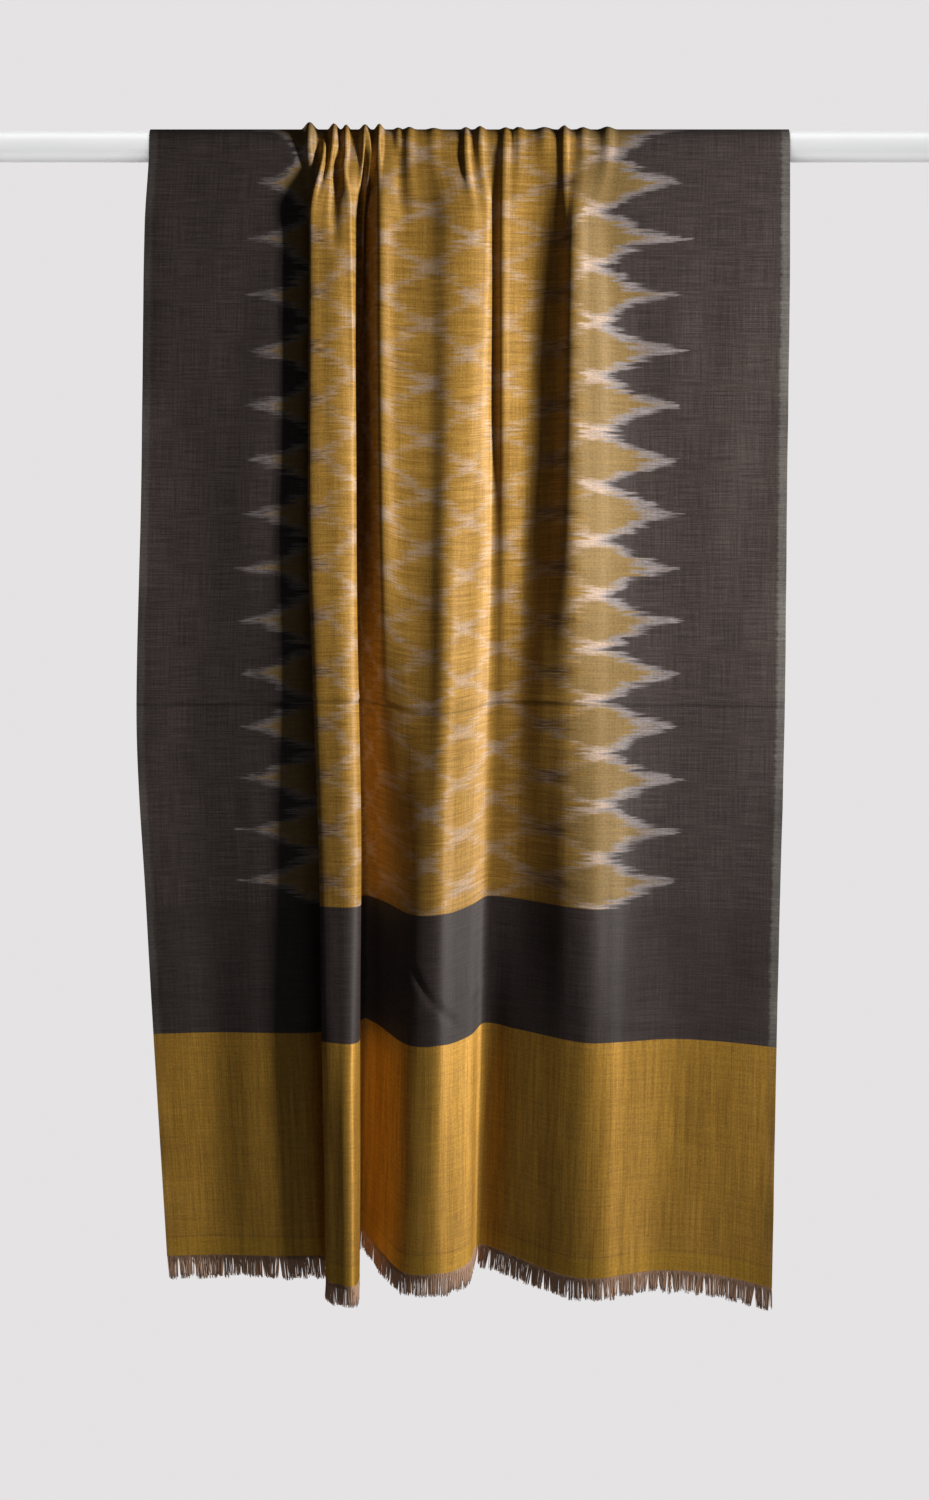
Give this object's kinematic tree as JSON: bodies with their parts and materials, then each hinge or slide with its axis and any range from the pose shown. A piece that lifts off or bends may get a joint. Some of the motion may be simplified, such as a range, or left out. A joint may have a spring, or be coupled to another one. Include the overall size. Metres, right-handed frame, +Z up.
{
  "type": "shawl on rod",
  "caption": "Woven shawl hung over a plain round rod, gathered on top into soft lengthwise folds, with a plain ground, a gold ikat field and short self fringes.",
  "frame": {"origin": "on the rod's axis, midway between the rod's ends, where the rod is held", "axes": "+Z up, +X along the rod to the right as seen from the front, and the shawl's front panel faces -Y"},
  "size_m": [1, 0.0914, 1.0697],
  "materials": {
    "rod_paint": "smooth satin white paint",
    "ikat_cloth": "fine silk weave, taupe warp crossed by dark brown and gold weft, with a soft sheen",
    "fringe_yarn": "loose taupe warp threads"
  },
  "bodies": {
    "root": {"rod": "rod_paint", "cloth": "ikat_cloth", "fringe_front": "fringe_yarn", "fringe_back": "fringe_yarn"}
  },
  "joints": []
}
